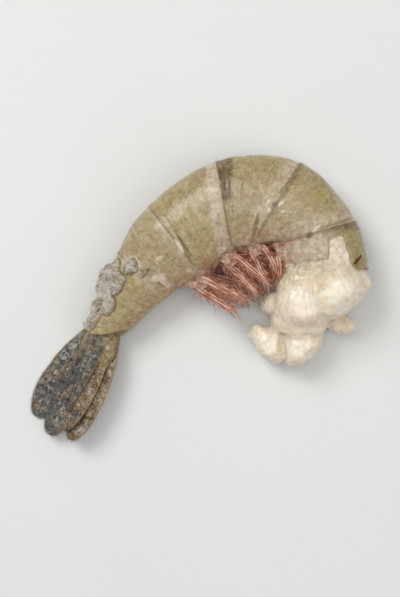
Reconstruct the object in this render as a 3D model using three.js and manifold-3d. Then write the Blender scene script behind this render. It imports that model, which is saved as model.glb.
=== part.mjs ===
// Raw tiger prawn: head off, shell on, curled and lying on one flank.
//
// Millimetres. The arch of the back is towards +Y, the tail fan towards -X and -Y, the cut head
// end towards +X, and +Z is up from the surface that the flank rests on. The origin is below the
// middle of the part, on that surface.
//
// The abdomen is a row of six shell rings between seven joints. A place on it is given by
//   t  from 0 at the cut front to 6 at the tail joint, a whole number at each joint,
//   u  from 1 on the ridge of the back to -1 at the lower edge of the shell,
//   v  from -1 on the flank that lies below to 1 on the flank that faces up.

import * as THREE from "three";
import { mergeVertices } from "three/addons/utils/BufferGeometryUtils.js";
import Module from "manifold-3d";

// ---- Driving dimensions ----------------------------------------------------------------------

// One row for each joint: the ridge of the back and the edge of the shell in plan, half the
// width across the flanks, and how high the middle plane lies.
const JOINTS = [
  { back: [38.4, 5.6], belly: [17.6, 6.6], halfWidth: 8.3, height: 8.0 },
  { back: [35.0, 17.4], belly: [17.2, 12.3], halfWidth: 8.5, height: 8.1 },
  { back: [22.0, 31.2], belly: [10.4, 11.8], halfWidth: 8.4, height: 8.3 },
  { back: [2.4, 31.4], belly: [5.8, 10.8], halfWidth: 8.1, height: 8.2 },
  { back: [-13.2, 20.8], belly: [-1.2, 5.0], halfWidth: 7.3, height: 7.6 },
  { back: [-20.4, 9.9], belly: [-7.8, 0.8], halfWidth: 5.9, height: 6.3 },
  { back: [-29.2, -8.4], belly: [-19.2, -9.4], halfWidth: 3.9, height: 4.9 },
];
const LAST_RING = JOINTS.length - 1;

const RING = {
  steps: 6, // lengths of shell from front edge to rear edge
  tuck: 0.16, // how far a ring starts ahead of its joint, below the ring before it
  rearFlare: 1.004, // size at the rear edge, which stands over the next ring
  frontPinch: 0.976, // size at the hidden front edge
  lobeRound: 0.13, // how much the lower corners of a side flap are rounded off
};

const SECTION = {
  arcSteps: 9, // steps from the ridge round to the lower flank
  arcEndDeg: 126,
  fullness: 0.82, // below 1 makes the flanks fuller than an ellipse
  keel: 0.05, // sharp ridge on the back of the last rings
  keelGrows: [3.0, 4.6], // where along the body the ridge grows to its full height
  bulgeFades: [4.6, 5.3], // where the belly between the legs goes over into the tail
};

const FLAT_SPOT = 0.35; // how much of the lowest flank is flattened by its own weight
const PLAN_MIDDLE = [-1.27, -0.49]; // middle of the whole in plan, before it moves to the origin

const FAN = {
  start: [-24.0, -8.2], // middle of the tail joint in plan
  headingDeg: -113, // the way it points in plan
  height: 5.0,
  twistDeg: 58, // its upper face is turned this far up from facing the back of the curl
  clearance: 0.15, // a blade that reaches down to the surface lies this far above it
  ease: 0.5, // height over which a blade bends up to lie so
};

const TELSON = { length: 20.5, halfWidth: 3.4, thickness: 3.0 };

// The four side blades of the fan, two on each side (1 is the side that lies lower): reach,
// greatest half width, splay, place beside the middle of the joint, and place below its face.
const UROPODS = [
  { side: 1, length: 25.0, halfWidth: 4.9, splayDeg: 13, out: 3.2, drop: -1.6 },
  { side: 1, length: 27.5, halfWidth: 4.5, splayDeg: 3, out: 1.4, drop: -0.5 },
  { side: -1, length: 26.5, halfWidth: 4.0, splayDeg: 0, out: 2.6, drop: -1.6 },
  { side: -1, length: 25.0, halfWidth: 3.4, splayDeg: -3, out: 1.9, drop: -0.5 },
];
const UROPOD_THICKNESS = 1.4;
const UROPOD_OUTLINE = {
  start: 0.45, // half width at the joint, as a share of the greatest
  widest: 0.58, // how far along it is widest
  tip: 2.4, // 2 makes an elliptical end, and more makes it blunter
  endShare: 0.12,
};
const UROPOD_STALK = { length: 8.0, radius: 2.2, out: 2.2, splayDeg: 6, drop: -0.9 };

// Swimming legs, one row for each ring that has a pair: the way the upper and the lower leg hang
// in plan, and the lengths of the stalk and of the two branches.
const LEGS = [
  { ring: 1, upperDeg: -108, lowerDeg: -98, stalk: 5.5, branch: 2.5 },
  { ring: 2, upperDeg: -84, lowerDeg: -92, stalk: 6.5, branch: 4.0 },
  { ring: 3, upperDeg: -62, lowerDeg: -70, stalk: 6.5, branch: 5.5 },
  { ring: 4, upperDeg: -42, lowerDeg: -52, stalk: 7.0, branch: 9.0 },
  { ring: 5, upperDeg: -29, lowerDeg: -17, stalk: 7.0, branch: 9.5 },
];
const LEG_ROOT = { beforeJoint: 0.6, u: -0.66, v: 0.3, inside: 0.8 };
const LEG_RISE = 0.14; // how steeply the legs of a pair spread apart
const LEG_STALK = { halfWidth: 2.9, halfThickness: 1.3, waist: 0.62 };
const LEG_BRANCH = {
  halfWidth: 0.92,
  halfThickness: 0.45,
  splayDeg: 2.5,
  overlap: 2.6, // length that lies beside the stalk
  bow: 0.4,
  shorter: 0.9, // length of the inner branch, as a share of the outer
};

// Lobes of bare muscle at the cut end: middle, half axes, and turn in plan.
const MUSCLE = [
  { middle: [27.4, 3.0, 8.0], half: [11.2, 6.2, 7.7], turnDeg: 0 },
  { middle: [29.9, 1.6, 8.2], half: [8.8, 6.3, 8.0], turnDeg: 35 },
  { middle: [22.4, -1.6, 8.0], half: [6.8, 6.6, 7.7], turnDeg: 20 },
  { middle: [21.9, -6.4, 7.0], half: [6.8, 4.8, 6.4], turnDeg: 0 },
  { middle: [22.2, -11.4, 5.5], half: [6.6, 3.8, 4.8], turnDeg: 42 },
  { middle: [15.0, -11.2, 4.9], half: [5.9, 3.0, 4.1], turnDeg: -50 },
  { middle: [18.2, -9.8, 5.0], half: [3.6, 4.0, 4.3], turnDeg: 0 },
  { middle: [12.8, -8.8, 4.8], half: [3.4, 1.5, 2.3], turnDeg: 8 },
  { middle: [16.6, -1.7, 5.6], half: [3.6, 3.2, 4.8], turnDeg: 10 },
  { middle: [31.4, -6.4, 3.8], half: [4.4, 2.3, 2.7], turnDeg: -16 },
];
const LOBE_FULLNESS = 0.8; // below 1 gives a lobe fuller shoulders than an ellipsoid
const LOBE_UNEVEN = 0.03; // share by which a lobe departs from that form

const SHELL_COLOUR = 0xb0a080;

// ---- Small helpers ---------------------------------------------------------------------------

const rad = THREE.MathUtils.degToRad;
const mix = THREE.MathUtils.lerp;
const smooth = THREE.MathUtils.smoothstep;

const wasm = await Module();
wasm.setup();

/** Shares from 0 to 1 in even steps. */
const evenly = (steps) => Array.from({ length: steps + 1 }, (_, i) => i / steps);

/** A unit vector that points this way in plan and rises by `rise`. */
function way(headingDeg, rise) {
  const heading = rad(headingDeg);
  return new THREE.Vector3(Math.cos(heading), Math.sin(heading), rise).normalize();
}

/** A manifold-3d solid from any closed three.js geometry. */
function solidOf(geometry) {
  const bare = geometry.index ? geometry.clone() : geometry;
  bare.deleteAttribute("normal");
  bare.deleteAttribute("uv");
  const merged = mergeVertices(bare, 1e-4);
  return new wasm.Manifold(
    new wasm.Mesh({
      numProp: 3,
      vertProperties: new Float32Array(merged.attributes.position.array),
      triVerts: new Uint32Array(merged.index.array),
    }),
  );
}

/** The mean of a ring of points. */
function middleOf(ring) {
  return ring.reduce((sum, p) => sum.add(p), new THREE.Vector3()).divideScalar(ring.length);
}

/** A closed skin over rings of points, each ring with as many points, capped at both ends. */
function loft(rings) {
  const count = rings[0].length;
  const capMiddles = [middleOf(rings[0]), middleOf(rings.at(-1))];
  const positions = rings.flat().concat(capMiddles).flatMap((p) => [p.x, p.y, p.z]);
  const index = [];
  for (let i = 0; i + 1 < rings.length; i++) {
    for (let k = 0; k < count; k++) {
      const a = i * count + k;
      const b = i * count + ((k + 1) % count);
      index.push(a, b, b + count, a, b + count, a + count);
    }
  }
  const firstMiddle = rings.length * count;
  const lastRing = (rings.length - 1) * count;
  for (let k = 0; k < count; k++) {
    const next = (k + 1) % count;
    index.push(firstMiddle, next, k);
    index.push(firstMiddle + 1, lastRing + k, lastRing + next);
  }
  const geometry = new THREE.BufferGeometry();
  geometry.setAttribute("position", new THREE.Float32BufferAttribute(positions, 3));
  geometry.setIndex(index);
  return geometry;
}

/** Oval rings at `shares` of a path, with the wide way of the oval along `wide`. */
function limbRings(path, wide, sizeAt, shares, sides) {
  return shares.map((s) => {
    const middle = path.getPoint(s);
    const along = path.getTangent(s);
    const across = wide.clone().addScaledVector(along, -wide.dot(along)).normalize();
    const thick = along.clone().cross(across);
    const [halfWidth, halfThickness] = sizeAt(s);
    return evenly(sides)
      .slice(0, -1)
      .map((turn) =>
        middle
          .clone()
          .addScaledVector(across, halfWidth * Math.cos(2 * Math.PI * turn))
          .addScaledVector(thick, halfThickness * Math.sin(2 * Math.PI * turn)),
      );
  });
}

// ---- The abdomen -----------------------------------------------------------------------------

const planCurve = (key) =>
  new THREE.CatmullRomCurve3(JOINTS.map((j) => new THREE.Vector3(...j[key], 0)));
const backLine = planCurve("back");
const bellyLine = planCurve("belly");
const widthLine = new THREE.CatmullRomCurve3(
  JOINTS.map((j) => new THREE.Vector3(j.halfWidth, j.height, 0)),
);

/** The point of the abdomen at t, u, v. */
function bodyPoint(t, u, v) {
  const share = t / LAST_RING;
  const back = backLine.getPoint(share);
  const belly = bellyLine.getPoint(share);
  const size = widthLine.getPoint(share);
  const point = back.clone().lerp(belly, (1 - u) / 2);
  point.z = size.y + size.x * v;
  return point;
}

/** How far the ridge of the back stands out at t, as a share of half the body's depth. */
function keelAt(t) {
  return SECTION.keel * smooth(t, ...SECTION.keelGrows);
}

/**
 * Half of a cross section, as [u, v] from the ridge round a flank to the middle of the belly.
 * The belly stands out by `bulge`, and the whole is drawn towards an oval by `oval`.
 */
function halfSection(keel, bulge, oval) {
  const half = [];
  for (let k = 0; k <= SECTION.arcSteps; k++) {
    const angle = rad((SECTION.arcEndDeg * k) / SECTION.arcSteps);
    const ridge = k === 0 ? keel : 0;
    half.push([Math.cos(angle) + ridge, Math.sin(angle) ** SECTION.fullness]);
  }
  half.push([-0.82, 0.72], [-1, 0.56], [-0.98, 0.46]);
  half.push([mix(-0.99, -1.06, bulge), 0.28], [mix(-1, -1.09, bulge), 0]);
  const run = [0];
  for (let k = 1; k < half.length; k++) {
    run.push(run[k - 1] + Math.hypot(half[k][0] - half[k - 1][0], half[k][1] - half[k - 1][1]));
  }
  return half.map(([u, v], k) => {
    const angle = (Math.PI * run[k]) / run.at(-1);
    return [
      mix(u, Math.cos(angle), oval),
      mix(v, Math.max(0, Math.sin(angle)) ** SECTION.fullness, oval),
    ];
  });
}

/** One closed cross section at t, `size` times full size, its side flaps `drop` shorter. */
function crossSection(half, t, size, drop) {
  const lower = half.map(([u, v]) => [u, -v]);
  const upper = half.slice(1, -1).reverse();
  return lower.concat(upper).map(([u, v]) => {
    const low = u < -0.5 ? (u + 0.5) * (1 - 2 * drop) - 0.5 : u;
    return bodyPoint(t, low * size, v * size);
  });
}

/** Shell ring n, with the muscle in it: tucked below the ring before, flared over the next. */
function shellRing(n) {
  const last = n === LAST_RING ? 1 : 0;
  const start = n === 1 ? 0 : n - 1 - RING.tuck;
  const rings = evenly(RING.steps).map((s) => {
    const t = mix(start, n, s);
    const pinch = mix(RING.frontPinch, 1, smooth(s, 0, 0.3));
    const flare = mix(1, RING.rearFlare, smooth(s, 0.55, 1));
    const drop = (1 - last) * RING.lobeRound * Math.abs(2 * s - 1) ** 3;
    const bulge = 1 - smooth(t, ...SECTION.bulgeFades);
    const half = halfSection(keelAt(t), bulge, last * smooth(s, 0.3, 1));
    return crossSection(half, t, pinch * flare, drop);
  });
  return loft(rings);
}

// ---- The tail fan ----------------------------------------------------------------------------

const fanTwist = rad(FAN.twistDeg);
const fanAlong = way(FAN.headingDeg, 0);
const fanToBack = new THREE.Vector3(fanAlong.y, -fanAlong.x, 0);
const fanUp = fanToBack
  .clone()
  .multiplyScalar(Math.cos(fanTwist))
  .add(new THREE.Vector3(0, 0, Math.sin(fanTwist)));
const fanAcross = fanAlong.clone().cross(fanUp);

/** A point of the fan: `along` from the tail joint, `across` it and `up` from its middle face. */
function fanPoint(along, across, up) {
  return new THREE.Vector3(...FAN.start, FAN.height)
    .addScaledVector(fanAlong, along)
    .addScaledVector(fanAcross, across)
    .addScaledVector(fanUp, up);
}

/** The path of a blade that leaves the joint `out` to the side and splays from there. */
function fanPath(length, out, splayDeg, rise, fall) {
  const sideways = Math.tan(rad(splayDeg)) * length;
  return new THREE.CatmullRomCurve3([
    fanPoint(-1.5, out * 0.6, rise),
    fanPoint(length * 0.3, out + sideways * 0.35, rise),
    fanPoint(length * 0.65, out + sideways * 0.75, rise + fall * 0.4),
    fanPoint(length, out + sideways, rise + fall),
  ]);
}

/** Lifts what would reach below the surface, top and bottom alike, so that a blade lies on it. */
function laidDown(rings) {
  return rings.map((ring) =>
    ring.map((point, k) => {
      const across = ring[(ring.length - k) % ring.length];
      const middle = (point.z + across.z) / 2;
      const half = Math.abs(point.z - across.z) / 2;
      const short = FLAT_SPOT + FAN.clearance + half - middle;
      const lift = FAN.ease * Math.log1p(Math.exp(short / FAN.ease));
      return new THREE.Vector3(point.x, point.y, point.z + lift);
    }),
  );
}

function telson() {
  const path = fanPath(TELSON.length, 0, 0, 0.6, 0);
  const size = (s) => [
    TELSON.halfWidth * mix(1, 0.08, s ** 1.35),
    (TELSON.thickness / 2) * mix(1, 0.3, s),
  ];
  return loft(laidDown(limbRings(path, fanAcross, size, evenly(7), 8)));
}

/** A side blade of the fan, broad and rounded at its end. */
function uropod({ side, length, halfWidth, splayDeg, out, drop }) {
  const { start, widest, tip, endShare } = UROPOD_OUTLINE;
  const path = fanPath(length, side * out, side * splayDeg, drop, 0.6);
  const size = (s) => {
    const grow = Math.sin((Math.PI / 2) * Math.min(1, s / widest));
    const shrink = Math.sqrt(1 - Math.max(0, (s - widest) / (1 - widest)) ** tip);
    const share = Math.max(mix(start, 1, grow) * shrink, endShare);
    return [halfWidth * share, (UROPOD_THICKNESS / 2) * mix(1, 0.4, s)];
  };
  const shares = evenly(11).map((x) => 1 - (1 - x) ** 1.4);
  return loft(laidDown(limbRings(path, fanAcross, size, shares, 8)));
}

function uropodStalk(side) {
  const { length, radius, out, splayDeg, drop } = UROPOD_STALK;
  const path = fanPath(length, side * out, side * splayDeg, drop, 0);
  const size = (s) => {
    const rounded = radius * Math.sqrt(Math.max(1 - ((s - 0.45) / 0.6) ** 2, 0.05));
    return [rounded, 0.8 * rounded];
  };
  return loft(laidDown(limbRings(path, fanAcross, size, evenly(5), 8)));
}

// ---- The swimming legs -----------------------------------------------------------------------

/** One leg of a pair: a stout stalk, then two flat tapering branches side by side. */
function swimmingLeg({ ring, upperDeg, lowerDeg, stalk, branch }, side) {
  const headingDeg = side > 0 ? upperDeg : lowerDeg;
  const hang = way(headingDeg, side * LEG_RISE);
  const wide = new THREE.Vector3(-hang.y, hang.x, 0).normalize();
  const root = bodyPoint(ring - LEG_ROOT.beforeJoint, LEG_ROOT.u, side * LEG_ROOT.v);
  const knee = root.clone().addScaledVector(hang, stalk);
  const inside = root.clone().addScaledVector(hang, -LEG_ROOT.inside);
  const stalkSize = (s) => {
    const share = mix(1, LEG_STALK.waist, smooth(s, 0.4, 0.9)) * (1 - 0.35 * smooth(s, 0.8, 1));
    return [LEG_STALK.halfWidth * share, LEG_STALK.halfThickness * share];
  };
  const pieces = [
    limbRings(new THREE.LineCurve3(inside, knee), wide, stalkSize, evenly(4), 8),
  ];
  for (const spread of [-1, 1]) {
    const start = knee
      .clone()
      .addScaledVector(hang, -LEG_BRANCH.overlap)
      .addScaledVector(wide, spread * LEG_BRANCH.halfWidth);
    const length = branch * (spread > 0 ? 1 : LEG_BRANCH.shorter) + LEG_BRANCH.overlap;
    const ahead = way(headingDeg + spread * LEG_BRANCH.splayDeg, side * 0.1);
    const end = start.clone().addScaledVector(ahead, length);
    const bend = start.clone().lerp(end, 0.5).addScaledVector(wide, spread * LEG_BRANCH.bow);
    bend.z += 2 * side * LEG_BRANCH.bow;
    const size = (s) => {
      const taper = mix(0.85, 1, smooth(s, 0, 0.2)) * mix(1, 0.72, s);
      const blunt = Math.sqrt(1 - (0.97 * s) ** 12);
      return [LEG_BRANCH.halfWidth * taper * blunt, LEG_BRANCH.halfThickness * mix(1, 0.7, s)];
    };
    const path = new THREE.QuadraticBezierCurve3(start, bend, end);
    pieces.push(limbRings(path, wide, size, evenly(5), 8));
  }
  return pieces.map(loft);
}

// ---- The bare muscle at the cut end ----------------------------------------------------------

/** A lobe of muscle: an ellipsoid with full shoulders and a few slow waves, unlike the others. */
function muscleLobe({ middle, half, turnDeg }, order) {
  const geometry = new THREE.SphereGeometry(1, 18, 12);
  const place = geometry.attributes.position;
  const point = new THREE.Vector3();
  for (let i = 0; i < place.count; i++) {
    point.fromBufferAttribute(place, i);
    const wave =
      Math.sin(3.1 * point.x + 1.7 * order) * Math.cos(2.7 * point.y - order) +
      0.6 * Math.sin(4.3 * point.z + 2.3 * order + 2 * point.x);
    const wider = Math.max(Math.hypot(point.x, point.y), 1e-6) ** (LOBE_FULLNESS - 1);
    const level = Math.sign(point.z) * Math.abs(point.z) ** LOBE_FULLNESS;
    point.set(point.x * wider, point.y * wider, level).multiplyScalar(1 + LOBE_UNEVEN * wave);
    place.setXYZ(i, point.x, point.y, point.z);
  }
  return geometry.scale(...half).rotateZ(rad(turnDeg)).translate(...middle);
}

// ---- One solid -------------------------------------------------------------------------------

/** All that lies below the resting surface, as a block to cut away. */
function belowTheFloor() {
  return new THREE.BoxGeometry(200, 200, 20).translate(0, 0, -10);
}

function wholePrawn() {
  const pieces = [telson(), ...UROPODS.map(uropod)];
  for (let n = 1; n <= LAST_RING; n++) {
    pieces.push(shellRing(n));
  }
  for (const side of [-1, 1]) {
    pieces.push(uropodStalk(side));
    LEGS.forEach((leg) => pieces.push(...swimmingLeg(leg, side)));
  }
  MUSCLE.forEach((lobe, order) => pieces.push(muscleLobe(lobe, order)));
  const joined = wasm.Manifold.union(pieces.map(solidOf));
  const [middleX, middleY] = PLAN_MIDDLE;
  const rested = joined.translate([-middleX, -middleY, -FLAT_SPOT]);
  return rested.subtract(solidOf(belowTheFloor()));
}

/** The three.js geometry of a manifold-3d solid. */
function geometryOf(solid) {
  const mesh = solid.getMesh();
  const geometry = new THREE.BufferGeometry();
  geometry.setAttribute("position", new THREE.BufferAttribute(mesh.vertProperties, 3));
  geometry.setIndex(new THREE.BufferAttribute(mesh.triVerts, 1));
  geometry.computeVertexNormals();
  return geometry;
}

const prawn = new THREE.Mesh(
  geometryOf(wholePrawn()),
  new THREE.MeshStandardMaterial({ color: SHELL_COLOUR, roughness: 0.45, metalness: 0 }),
);
prawn.name = "prawn";

const model = new THREE.Group();
model.add(prawn);

export default model;
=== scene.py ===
"""A raw tiger prawn, head off and shell on, lying curled on one flank.

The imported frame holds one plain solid. This script dresses it: shell rings, bare muscle,
swimming legs, tail fan and frost, each a mesh of its own with a procedural material. The
shapes are worked out in millimetres from the same driving dimensions as the solid.
"""

import math

import bmesh
import bpy
import numpy as np
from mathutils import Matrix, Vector, noise


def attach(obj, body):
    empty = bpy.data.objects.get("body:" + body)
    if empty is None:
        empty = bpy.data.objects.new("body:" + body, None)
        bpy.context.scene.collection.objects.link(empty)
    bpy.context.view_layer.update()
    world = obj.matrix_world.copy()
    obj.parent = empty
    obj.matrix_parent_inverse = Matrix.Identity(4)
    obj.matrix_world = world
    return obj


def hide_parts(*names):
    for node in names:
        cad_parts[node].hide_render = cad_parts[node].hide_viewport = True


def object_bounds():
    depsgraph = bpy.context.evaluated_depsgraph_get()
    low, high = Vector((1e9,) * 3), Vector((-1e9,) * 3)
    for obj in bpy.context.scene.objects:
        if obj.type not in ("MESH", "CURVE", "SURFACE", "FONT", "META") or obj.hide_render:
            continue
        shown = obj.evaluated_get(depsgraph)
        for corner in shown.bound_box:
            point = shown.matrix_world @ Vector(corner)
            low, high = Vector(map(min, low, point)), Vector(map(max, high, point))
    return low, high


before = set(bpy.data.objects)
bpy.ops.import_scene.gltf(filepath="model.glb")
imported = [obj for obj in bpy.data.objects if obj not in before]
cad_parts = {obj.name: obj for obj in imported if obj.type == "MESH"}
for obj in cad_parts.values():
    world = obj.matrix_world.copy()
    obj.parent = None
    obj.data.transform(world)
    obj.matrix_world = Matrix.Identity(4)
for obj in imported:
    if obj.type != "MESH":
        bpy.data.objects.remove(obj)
cad_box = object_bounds()

MM = 0.001
RANDOM = np.random.default_rng(16)

# ---- Driving dimensions, in millimetres ------------------------------------------------------

# One row for each joint of the abdomen, from the cut front to the tail joint.
BACK = [(38.4, 5.6), (35.0, 17.4), (22.0, 31.2), (2.4, 31.4), (-13.2, 20.8), (-20.4, 9.9), (-29.2, -8.4)]
BELLY = [(17.6, 6.6), (17.2, 12.3), (10.4, 11.8), (5.8, 10.8), (-1.2, 5.0), (-7.8, 0.8), (-19.2, -9.4)]
HALF_WIDTH_AND_HEIGHT = [(8.3, 8.0), (8.5, 8.1), (8.4, 8.3), (8.1, 8.2), (7.3, 7.6), (5.9, 6.3), (3.9, 4.9)]
RINGS = 6

PLAN_MIDDLE = (-1.27, -0.49)
FLAT_SPOT = 0.35

# The shell: each ring tucks under the one before it and flares at its rear margin.
RING_TUCK = 0.16
REAR_FLARE = 1.004
FRONT_PINCH = 0.976
LOBE_ROUND = 0.13
SHELL_THICKNESS = 0.26
TAIL_HOLLOW = 0.14
KEEL_GROWS = (3.0, 4.6)
KEEL = 0.05
KEEL_HALF = 0.13
SECTION_FULLNESS = 0.82
SECTION_ARC_END = math.radians(126)
HINGE_AROUND = 0.48
HINGE_BEFORE_JOINT = 0.05
HINGE_KNOB = dict(height=0.32, half=0.75, pit=0.25, pit_half=0.3)

# The first ring's torn front: how deep, and the places round the section where a tear starts
# and ends. The notch is on the upper flank alone.
TORN_NOTCH = dict(depth=0.74, starts=(0.28, 0.32), ends=(0.465, 0.42))
TORN_FLANK = dict(depth=0.23, starts=(0.40, 0.47), ends=(0.75, 0.60))

# Each joint's dark band on the ring before it, and its pale band on the ring behind it.
BANDS = {
    1: dict(dark_width=1.8, dark=0.75, pale_width=3.4, pale=0.75),
    2: dict(dark_width=1.3, dark=0.70, pale_width=2.6, pale=0.85),
    3: dict(dark_width=4.0, dark=1.00, pale_width=2.8, pale=1.00),
    4: dict(dark_width=0.8, dark=0.35, pale_width=1.6, pale=0.45),
    5: dict(dark_width=1.0, dark=0.40, pale_width=2.2, pale=0.50),
}
OLIVE_BACK = {1: 1.00, 2: 0.60, 3: 0.55, 4: 0.60, 5: 0.35, 6: 0.50}
OLIVE_FLANK = {1: 0.00, 2: 0.25, 3: 0.15, 4: 0.72, 5: 0.35, 6: 0.50}
MARKS_FADE = (0.08, 0.24)

# Single marks on the upper flank, which fade towards the ridge of the back: the middle and half
# sizes in plan, the turn in degrees, and the tint. A tint holds the shares of dark, pale and olive.
DARK, PALE, WHITE, OLIVE, YELLOW = (1, 0, 0), (0, 1, 0), (0, 1.6, 0), (0, 0, 1), (0, 1, 1)
BROWN, BRIGHT = (0.55, 0, 0.5), (0, 1.35, 0)
MARKS = [
    ((-17.4, 7.6), (2.7, 1.9), -28, PALE),
    ((-11.4, 4.3), (2.2, 0.9), 12, BRIGHT),
    ((-9.2, 3.0), (1.6, 0.7), -45, BRIGHT),
    ((-10.7, 8.8), (1.2, 0.7), 28, YELLOW),
    ((-13.9, 5.3), (1.3, 0.5), 50, DARK),
    ((-16.4, 2.6), (2.3, 0.6), -70, OLIVE),
    ((26.4, 22.9), (2.4, 1.4), -50, OLIVE),
    ((-5.8, 11.2), (2.0, 0.4), -56, WHITE),
    ((-5.0, 11.8), (3.0, 0.3), -56, DARK),
    ((15.8, 20.9), (0.8, 0.6), 20, DARK),
    ((14.3, 21.6), (0.9, 0.4), 60, WHITE),
    ((17.2, 21.2), (0.8, 0.45), 35, WHITE),
    ((14.5, 19.7), (0.7, 0.4), -40, WHITE),
    ((17.6, 19.4), (0.7, 0.4), -10, WHITE),
    ((18.6, 25.6), (3.4, 0.35), 52, BROWN),
    ((31.0, 21.6), (2.2, 1.1), -52, PALE),
    ((15.9, 15.6), (1.9, 1.0), 62, PALE),
    ((11.3, 15.3), (3.2, 0.5), 78, BROWN),
    ((30.4, 16.9), (4.4, 0.3), 19, BROWN),
    ((23.6, 13.9), (1.0, 0.7), 30, DARK),
    ((25.2, 15.4), (1.4, 0.3), 42, WHITE),
]
BLOOD_STREAK = [(33.9, 7.3), (34.8, 8.1), (35.8, 9.5)]

FAN_START = (-24.0, -8.2)
FAN_HEADING = math.radians(-113)
FAN_HEIGHT = 5.0
FAN_TWIST = math.radians(58)
TELSON = dict(length=20.5, half_width=3.4, thickness=3.0)
UROPODS = [
    dict(name="outer_lower", side=1, length=25.0, half_width=4.9, splay=13, out=3.2, drop=-1.6),
    dict(name="inner_lower", side=1, length=27.5, half_width=4.5, splay=3, out=1.4, drop=-0.5),
    dict(name="outer_upper", side=-1, length=26.5, half_width=4.0, splay=0, out=2.6, drop=-1.6),
    dict(name="inner_upper", side=-1, length=25.0, half_width=3.4, splay=-3, out=1.9, drop=-0.5),
]
UROPOD_THICKNESS = 1.2
UROPOD_WIDEST = 0.58
UROPOD_TIP = 2.4
UROPOD_STALK = dict(length=8.0, radius=2.2, out=2.2, splay=6, drop=-0.9)
BLADE_REST = dict(clear=0.15, ease=0.5)

# The swimming legs: the way that the upper and the lower leg of a pair hang in plan.
LEGS = [
    dict(ring=1, upper=-108, lower=-98, stalk=5.5, branch=2.5),
    dict(ring=2, upper=-84, lower=-92, stalk=6.5, branch=4.0),
    dict(ring=3, upper=-62, lower=-70, stalk=6.5, branch=5.5),
    dict(ring=4, upper=-42, lower=-52, stalk=7.0, branch=9.0),
    dict(ring=5, upper=-29, lower=-17, stalk=7.0, branch=9.5),
]
LEG_ROOT = dict(before_joint=0.6, u=-0.66, v=0.3, inside=0.8)
LEG_RISE = 0.14
LEG_STALK = dict(half_width=2.9, half_thickness=1.3, waist=0.62)
LEG_BRANCH = dict(half_width=0.92, half_thickness=0.45, splay=2.5, overlap=2.6, shorter=0.9)
LEG_BOW = dict(out=0.25, up=0.4, uneven=0.3)
RIB_WAVES = 2 * math.pi
LEG_HAIR = dict(length=3.6, per_mm=2.4, radius=0.07, spread=0.16)
LEG_TUFT = dict(length=4.4, per_mm=0.8, radius=0.16, spread=0.35)
FAN_HAIR = dict(length=0.8, per_mm=7.0, radius=0.035, spread=0.16)
HAIR_ROOT = dict(last=0.995, inside=0.08, lean=(0.9, 2.4), shortest=0.55)

# The skin of the belly, which bulges between the legs and flattens behind them.
BELLY_SKIN = dict(size=0.92, recess=0.35, bulge=0.36, flattens=(4.4, 5.2), ends=(0.9, 6.04), ridge=0.35)

# The bare muscle: ellipsoids with fuller shoulders, melted together. Each has its middle, half
# sizes and turn in plan in degrees.
MUSCLE = [
    ((27.4, 3.0, 8.0), (11.2, 6.2, 7.7), 0),
    ((29.9, 1.6, 8.2), (8.8, 6.3, 8.0), 35),
    ((22.4, -1.6, 8.0), (6.8, 6.6, 7.7), 20),
    ((21.9, -6.0, 6.8), (6.8, 4.2, 6.2), 0),
    ((22.2, -11.2, 5.7), (6.6, 4.1, 5.0), 42),
    ((15.0, -11.2, 4.9), (5.9, 3.0, 4.1), -50),
    ((18.2, -9.8, 5.0), (3.6, 4.0, 4.3), 0),
    ((12.8, -8.8, 4.8), (3.4, 1.5, 2.3), 8),
    ((16.6, -1.7, 5.6), (3.6, 3.2, 4.8), 10),
    ((31.4, -6.4, 3.8), (4.4, 2.3, 2.7), -16),
]
LOBE_FULLNESS = 0.8
MUSCLE_PLUG = dict(size=0.94, ends=(1.25, 0.02))
MUSCLE_GRAIN = 0.27
MUSCLE_ROUNDS = 26

# The fibres fan out from this place in plan, inside the first ring. Creases part their bundles.
FIBRE_SOURCE = (23.0, 16.0)
FIBRE_SPREAD = 24.0
FIBRE_SHORTENED = (0.2, 0.45)
BUNDLE_CREASE = dict(apart=2.4, half=0.12, depth=0.13)

# Folds between the lobes, as lines in plan. Each is this deep, and twice `half` wide.
MUSCLE_FOLDS = [
    dict(line=[(18.4, -17.5), (17.9, -14.0), (17.5, -9.4)], depth=1.2, half=0.8),
    dict(line=[(28.0, 2.4), (25.2, -0.4), (27.0, -4.5)], depth=0.3, half=1.1),
    dict(line=[(14.0, -6.6), (19.0, -7.6), (26.0, -7.2)], depth=0.3, half=1.2),
]

# Ovals in plan, each with its middle and half sizes: where a painted highlight lies on the lobes' tops,
# where the muscle is streaked, and where the notch in the first ring leaves it bare.
HIGHLIGHT_PATCHES = [
    ((22.9, -2.0), (3.8, 3.6)),
    ((30.4, 1.0), (4.6, 3.0)),
    ((13.7, -11.4), (3.2, 3.0)),
    ((21.7, -12.0), (3.2, 2.8)),
]
WARM_STREAKS = ((25.0, 2.2), (3.4, 1.7))
BARE_NOTCH = ((30.2, 10.4), (3.4, 5.4))

# Ice on the last rings: the patch of shell that may hold it, and how far it sinks where it
# doesn't. Then its lumps: t, place round the section, half sizes of both and height.
FROST_PATCH = dict(t=4.75, around=(-0.16, 0.5), sunk=0.45, bottom=0.5, highest=1.6)
FROST_LUMPS = [
    (5.28, -0.02, 0.13, 0.10, 1.2),
    (5.40, 0.07, 0.14, 0.09, 0.9),
    (5.22, 0.16, 0.16, 0.09, 0.8),
    (5.46, 0.21, 0.17, 0.10, 0.7),
    (5.33, 0.30, 0.15, 0.08, 0.6),
    (5.62, 0.34, 0.13, 0.08, 0.8),
    (5.66, 0.18, 0.12, 0.08, 0.7),
    (5.84, 0.24, 0.14, 0.09, 0.7),
    (5.98, 0.16, 0.12, 0.10, 0.6),
    (5.03, 0.33, 0.14, 0.06, 0.4),
]
FROST_GRAINS = dict(count=900, radius=(0.15, 0.5), height=0.32)
FROST_ROUGH = dict(size=1.8, height=0.35)


# ---- Curves and the places of the abdomen ----------------------------------------------------

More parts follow.
